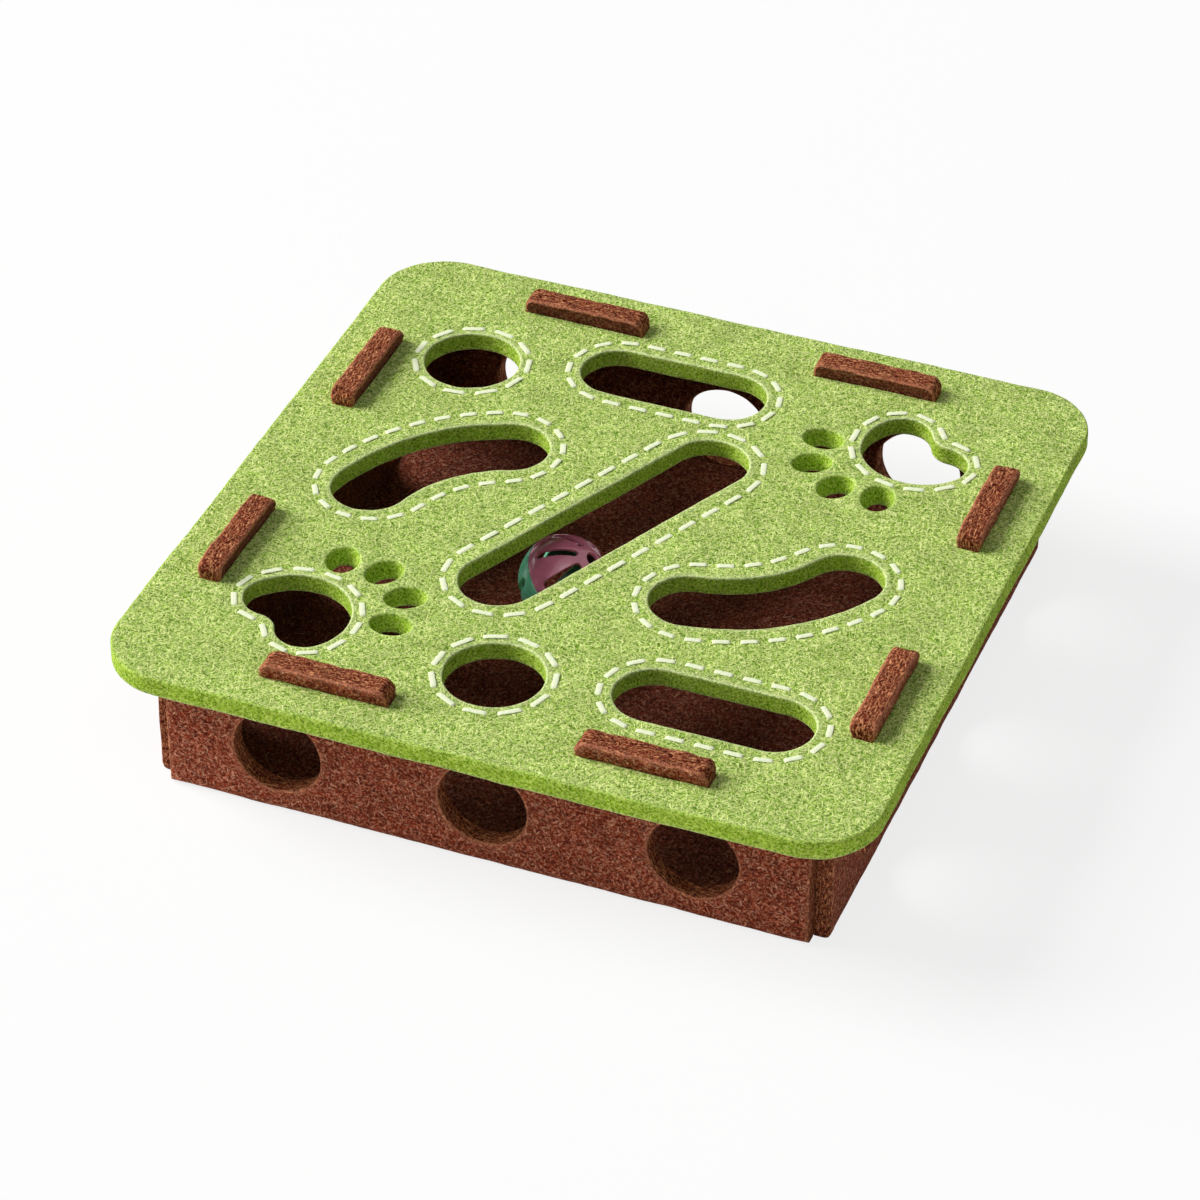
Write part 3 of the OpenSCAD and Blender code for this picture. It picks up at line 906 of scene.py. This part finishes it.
class MAZEBOX_OT_walls(bpy.types.Operator):
    """Builds the four felt walls with their paw holes, tabs and folded feet"""

    bl_idname = "mazebox.walls"
    bl_label = "Walls"

    def execute(self, context):
        felt = context.scene.maze_felt
        for node, outside in WALL_OUTSIDES.items():
            loops, level, thickness = panel_outline(node, outside, True)
            right = panel_axes(outside)[0]
            inner_half = loops[0][:, 0].max()
            outer_half = max(abs(np.array(corner) @ right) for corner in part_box(node))
            rims = [self.outer_rims(felt, inner_half)]
            rims.extend(even_rim(felt.wall_rim, *WALL_HOLE_FRAY) for _ in loops[1:])
            sheet = Sheet(loops, thickness, rims, felt.cell, felt.cell * WALL_INSIDE_CELLS)
            flat = sheet.panel_points()
            self.round_foot(flat, felt.fold)
            self.close_corners(flat, inner_half, outer_half, thickness)
            free = self.swell_tabs(flat, thickness, felt.tab_swell)
            points = uneven(in_place(flat, outside, level), felt.unevenness, WALL_WAVES)
            lumps = WALL_ROUGHNESS + (TAB_ROUGHNESS - WALL_ROUGHNESS) * free
            points = uneven(points, felt.unevenness * lumps, WALL_LUMPS)
            points[:, 2] = np.maximum(points[:, 2], 0)
            name = node.replace("_wall", "_side")
            # The wall's inner face takes the dimmed inside felt, as painted shade
            add_felt(name, node, sheet, points, tray_felts(felt), "box")
        return {"FINISHED"}

    @staticmethod
    def outer_rims(felt, half):
        """Rims round a wall: fuller and more frayed on its tabs, and sharp inside at its ends."""
        tab_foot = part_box("lid_panel")[1].z

        def rim_at(loop):
            on_tab = loop[:, 1] > tab_foot + ON_FACE
            front = np.where(on_tab, felt.tab_rim, felt.wall_rim)
            back = np.where(np.abs(loop[:, 0]) > half - ON_FACE, SHARP_RIM, front)
            fray = np.where(on_tab, TAB_FRAY, WALL_FRAY)
            return front, back, fray, fray
        return rim_at

    @staticmethod
    def close_corners(flat, inner_half, outer_half, thickness):
        """Carries a wall's outside past the inner corner, to a bevel that presses on the next wall."""
        at_end = np.clip((np.abs(flat[:, 0]) - inner_half + CORNER_BLEND) / CORNER_BLEND, 0, 1)
        reach = np.minimum(outer_half - inner_half, thickness - flat[:, 2] + CORNER_PRESS)
        flat[:, 0] += np.sign(flat[:, 0]) * at_end * reach

    @staticmethod
    def swell_tabs(flat, thickness, swell):
        """Lets the tabs spread above the lid's slots, and tells how far each point takes part."""
        lid_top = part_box("lid_panel")[1].z
        free = np.clip((flat[:, 1] - lid_top) / swell, 0, 1)
        flat[:, 2] += free * swell * (2 * flat[:, 2] / thickness - 1)
        return free

    @staticmethod
    def round_foot(flat, radius):
        """Rounds the lower outer edge, where the wall folds up from the base."""
        reach = np.stack([radius - flat[:, 1], radius - flat[:, 2]], axis=1)
        distance = np.linalg.norm(reach, axis=1)
        outside = (reach.min(axis=1) > 0) & (distance > radius)
        flat[outside, 1:] = radius - reach[outside] * (radius / distance[outside])[:, None]


class MAZEBOX_OT_lid(bpy.types.Operator):
    """Builds the felt lid with its openings, tab slots and the dents under its stitches"""

    bl_idname = "mazebox.lid"
    bl_label = "Lid"

    def execute(self, context):
        felt = context.scene.maze_felt
        loops, top, thickness = panel_outline("lid_panel", UPWARD, False)
        is_slot = [len(loop) == SLOT_CORNERS for loop in loops]
        is_toe = [abs(signed_area(loop)) < LARGEST_TOE for loop in loops]
        # The lid's pale rims are partly loose fibres and partly a painted highlight
        rims = [even_rim(felt.lid_rim, *(TOE_FRAY if toe else LID_HOLE_FRAY_AND_HIGHLIGHT)) for toe in is_toe]
        rims[0] = even_rim(felt.lid_rim, *LID_FRAY_AND_HIGHLIGHT)
        for index, slot in enumerate(is_slot):
            if slot:
                loops[index] = inset(loops[index], -felt.slot_snug)
                rims[index] = even_rim(felt.slot_rim, *SLOT_FRAY)
        sheet = Sheet(loops, thickness, rims, felt.cell, felt.cell * LID_UNDER_CELLS)
        flat = sheet.panel_points()
        for loop, toe in zip(loops, is_toe):
            if toe:
                # Stands in for shade: the narrowed walls hide the floor below
                self.narrow_toe(flat, loop, felt.toe_taper, thickness)
        points = uneven(in_place(flat, UPWARD, top), felt.unevenness, LID_WAVES)
        points = uneven(points, felt.unevenness * LID_ROUGHNESS, LID_LUMPS)
        points[:, 2] -= self.dents(flat, felt.stitch_dent)
        add_felt("lid", "lid_panel", sheet, points, lid_felts(felt), "lid")
        return {"FINISHED"}

    @staticmethod
    def narrow_toe(flat, loop, taper, thickness):
        """Lets the felt close in towards the underside of a toe hole, hiding the floor below in place of
        shade.
        """
        middle = (loop.min(axis=0) + loop.max(axis=0)) / 2
        offset = flat[:, :2] - middle
        distance = np.linalg.norm(offset, axis=1)
        near = distance < np.linalg.norm(loop - middle, axis=1).max() + taper
        step = taper * flat[near, 2] / thickness / distance[near]
        flat[near, :2] -= offset[near] * step[:, None]

    @staticmethod
    def dents(flat, depth):
        """How far the thread pulls in each point of the lid's top."""
        pulled = []
        for loop in STITCHED_LOOPS:
            for start, end, _ in stitch_lines(loop):
                pulled.extend(start + (end - start) * at for at in np.linspace(0, 1, DENT_SAMPLES))
        near = distances(flat[:, :2], pulled)
        return np.where(flat[:, 2] < depth, depth * np.exp(-(near / DENT_REACH) ** 2), 0)


class MAZEBOX_OT_stitching(bpy.types.Operator):
    """Sews the nine loops of running stitch round the lid's openings"""

    bl_idname = "mazebox.stitching"
    bl_label = "Stitching"

    def execute(self, context):
        thread = context.scene.maze_thread
        dent = context.scene.maze_felt.stitch_dent
        material = thread_material("cream_thread", thread.body, thread.shade)
        under, top = (corner.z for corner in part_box("lid_panel"))
        for loop in STITCHED_LOOPS:
            points, faces, grain, fray = [], [], [], []
            lines = in_sewing_order(stitch_lines(loop))
            for line, after in zip(lines, lines[1:] + lines[:1]):
                add_stitch(points, faces, grain, fray, line, top - dent * DENT_SEAT, 1, thread)
                beneath = (line[1], after[0], line[2])
                add_stitch(points, faces, grain, fray, beneath, under, -1, thread)
            piece = add_piece(loop.replace("_stitching", "_thread"), points, faces, [material], "lid",
                              loop)
            mark_points(piece, "grain", "FLOAT_VECTOR", grain)
            mark_points(piece, "fray", "FLOAT", fray)
        return {"FINISHED"}


class MAZEBOX_OT_ball(bpy.types.Operator):
    """Moulds the lattice ball in its pink and green half shells"""

    bl_idname = "mazebox.ball"
    bl_label = "Ball"

    def execute(self, context):
        ball = context.scene.maze_ball
        pink, _ = node_shape("ball_pink_shell")
        green, _ = node_shape("ball_green_shell")
        low = np.minimum(pink.min(axis=0), green.min(axis=0))
        high = np.maximum(pink.max(axis=0), green.max(axis=0))
        centre = (low + high) / 2
        reach = np.linalg.norm(pink - centre, axis=1)
        radius, inner = reach.max(), reach.min()
        pole = Vector(pink.mean(axis=0) - centre).normalized()
        lean, heading = math.acos(pole.z), math.atan2(pole.y, pole.x)
        pose = Matrix.Rotation(heading, 3, "Z") @ Matrix.Rotation(lean, 3, "Y")
        half_pitch = Matrix.Rotation(math.pi / ball.slots, 3, "Z")
        flipped = pose @ half_pitch @ Matrix.Rotation(math.pi, 3, "X")
        loops = self.shell_loops(ball, radius)
        rims = [even_rim(ball.rim, *NO_FRAY) for _ in loops]
        sheet = Sheet(loops, radius - inner, rims, ball.cell, ball.cell * SHELL_INSIDE_CELLS)
        for name, node, shade, at in (("pink_half", "ball_pink_shell", ball.pink, pose),
                                      ("green_half", "ball_green_shell", ball.green, flipped)):
            points = self.curl(sheet.panel_points(), radius, centre, np.array(at))
            slot = node.replace("ball_", "").replace("_shell", "_plastic")
            outside = plastic_material(slot, shade)
            # Painted shade: the shell's inside is the same plastic, dimmed
            inside = plastic_material(f"{slot}_inside", shade, ball.inside)
            plastics = [outside, outside, inside]
            piece = add_piece(name, points, sheet.faces, plastics, "ball_shell", node)
            piece.data.polygons.foreach_set("material_index", sheet.side)
        return {"FINISHED"}

    @staticmethod
    def shell_loops(ball, radius):
        """A half shell's seam, pole hole and slots, spread flat from the pole."""
        around = np.linspace(0, 2 * math.pi, SEAM_POINTS, endpoint=False)
        circle = np.stack([np.cos(around), np.sin(around)], axis=1)
        pole_hole = circle[::-1] * radius * math.asin(ball.pole_hole / 2 / radius)
        loops = [circle * radius * math.pi / 2, pole_hole]
        near = radius * ball.slot_near + ball.slot_narrow / 2
        far = radius * ball.slot_far - ball.slot_wide / 2
        turn_off = math.pi / 2 + math.asin((ball.slot_wide - ball.slot_narrow) / 2 / (far - near))
        for slot in range(ball.slots):
            middle = (slot + 0.5) * 2 * math.pi / ball.slots
            outline = []
            for run, width, first, last, count in (
                    (far, ball.slot_wide, -turn_off, turn_off, WIDE_END_POINTS),
                    (near, ball.slot_narrow, turn_off, 2 * math.pi - turn_off, NARROW_END_POINTS)):
                for angle in np.linspace(first, last, count):
                    outline.append((run + width / 2 * math.cos(angle), width / 2 * math.sin(angle)))
            spin = np.array(Matrix.Rotation(middle, 2))
            loops.append((np.array(outline) @ spin.T)[::-1])
        return loops

    @staticmethod
    def curl(flat, radius, centre, pose):
        """The flat shell wrapped onto its ball."""
        run = np.linalg.norm(flat[:, :2], axis=1)
        polar, around = run / radius, np.arctan2(flat[:, 1], flat[:, 0])
        level = np.sin(polar)
        outward = np.stack([level * np.cos(around), level * np.sin(around), np.cos(polar)], axis=1)
        return centre + ((radius - flat[:, 2:3]) * outward) @ pose.T


class MAZEBOX_OT_bell(bpy.types.Operator):
    """Finishes the bell's cups and its pellet"""

    bl_idname = "mazebox.bell"
    bl_label = "Bell"

    def execute(self, context):
        ball = context.scene.maze_ball
        brass = metal_material("bell_brass", ball.brass, dull=0.24)
        steel = metal_material("pellet_steel", ball.steel, dull=0.34)
        metals = {"bell_upper_cup": brass, "bell_lower_cup": brass, "bell_pellet": steel}
        for node, metal in metals.items():
            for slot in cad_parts[node].material_slots:
                slot.material = metal
        return {"FINISHED"}


class MAZEBOX_OT_stage(bpy.types.Operator):
    """Lays the floor and sets the light and the camera"""

    bl_idname = "mazebox.stage"
    bl_label = "Stage"

    def execute(self, context):
        scene, stage = context.scene, context.scene.maze_stage
        scene.view_settings.view_transform = "Standard"
        self.lay_floor(scene, stage)
        self.set_light(scene, stage)
        self.set_camera(scene, stage)
        return {"FINISHED"}

    @staticmethod
    def lay_floor(scene, stage):
        """A wide flat floor just under the box."""
        half = stage.floor_size / 2
        mesh = bpy.data.meshes.new("floor")
        corners = [(-half, -half, 0), (half, -half, 0), (half, half, 0), (-half, half, 0)]
        mesh.from_pydata(corners, [], [(0, 1, 2, 3)])
        mesh.materials.append(floor_material("pale_floor", stage.floor, stage.floor_glow))
        floor = bpy.data.objects.new("floor", mesh)
        floor.location.z = -FLOOR_DROP
        scene.collection.objects.link(floor)

    @staticmethod
    def set_light(scene, stage):
        """One soft lamp from the left, a weak one from the camera's side and an even fill."""
        world = bpy.data.worlds.new("studio")
        world.use_nodes = True
        tree = world.node_tree
        mixed = tree.nodes.new("ShaderNodeMixShader")
        tree.links.new(seen_directly(tree), mixed.inputs[0])
        for socket, strength in ((1, stage.fill), (2, 1.0)):
            backdrop = tree.nodes.new("ShaderNodeBackground")
            backdrop.inputs["Color"].default_value = (1, 1, 1, 1)
            backdrop.inputs["Strength"].default_value = strength
            tree.links.new(backdrop.outputs[0], mixed.inputs[socket])
        tree.links.new(mixed.outputs[0], tree.nodes["World Output"].inputs["Surface"])
        scene.world = world
        for name in ("key", "front"):
            data = bpy.data.lights.new(name, "AREA")
            data.energy = getattr(stage, name)
            data.size = getattr(stage, f"{name}_side")
            lamp = bpy.data.objects.new(name, data)
            heading, height = getattr(stage, f"{name}_heading"), getattr(stage, f"{name}_height")
            away = Vector((math.cos(heading), math.sin(heading), 0)) * math.cos(height)
            away.z = math.sin(height)
            lamp.location = away * getattr(stage, f"{name}_range")
            lamp.rotation_euler = away.to_track_quat("Z", "Y").to_euler()
            scene.collection.objects.link(lamp)

    @staticmethod
    def set_camera(scene, stage):
        """The camera at the photograph's angle."""
        data = bpy.data.cameras.new("camera")
        data.lens = stage.lens
        data.clip_end = CAMERA_SIGHT
        camera = bpy.data.objects.new("camera", data)
        right = Vector((math.cos(stage.heading), math.sin(stage.heading), 0))
        away = Vector((math.sin(stage.heading), -math.cos(stage.heading), 0)) * math.cos(stage.height)
        away.z = math.sin(stage.height)
        up = away.cross(right)
        level = Matrix((right, up, away)).transposed()
        turned = level @ Matrix.Rotation(stage.roll, 3, "Z")
        place = Matrix.Translation(Vector(stage.target) + away * stage.reach)
        camera.matrix_world = place @ turned.to_4x4()
        scene.collection.objects.link(camera)
        scene.camera = camera


STEPS = (MAZEBOX_OT_base, MAZEBOX_OT_walls, MAZEBOX_OT_lid, MAZEBOX_OT_stitching, MAZEBOX_OT_ball,
         MAZEBOX_OT_bell, MAZEBOX_OT_stage)
SETTINGS = {
    "maze_felt": FeltSettings,
    "maze_thread": ThreadSettings,
    "maze_ball": BallSettings,
    "maze_stage": StageSettings,
}


class MAZEBOX_PT_build(bpy.types.Panel):
    """Lists the steps that build the maze box, and their settings"""

    bl_idname = "MAZEBOX_PT_build"
    bl_label = "Felt Maze Box"
    bl_space_type = "VIEW_3D"
    bl_region_type = "UI"
    bl_category = "Maze Box"

    def draw(self, context):
        for step in STEPS:
            self.layout.operator(step.bl_idname)
        for name, group in SETTINGS.items():
            box = self.layout.box()
            box.label(text=group.__doc__)
            for setting in group.__annotations__:
                box.prop(getattr(context.scene, name), setting)


def register():
    """Makes the settings, operators and panel known to Blender."""
    for name, group in SETTINGS.items():
        bpy.utils.register_class(group)
        setattr(bpy.types.Scene, name, PointerProperty(type=group))
    for each in (*STEPS, MAZEBOX_PT_build):
        bpy.utils.register_class(each)


def unregister():
    """Takes them out again."""
    for each in (MAZEBOX_PT_build, *reversed(STEPS)):
        bpy.utils.unregister_class(each)
    for name, group in reversed(SETTINGS.items()):
        delattr(bpy.types.Scene, name)
        bpy.utils.unregister_class(group)


def main():
    """Builds the whole scene in order."""
    register()
    bpy.ops.mazebox.base()
    bpy.ops.mazebox.walls()
    bpy.ops.mazebox.lid()
    bpy.ops.mazebox.stitching()
    bpy.ops.mazebox.ball()
    bpy.ops.mazebox.bell()
    bpy.ops.mazebox.stage()


if __name__ == "__main__":
    main()
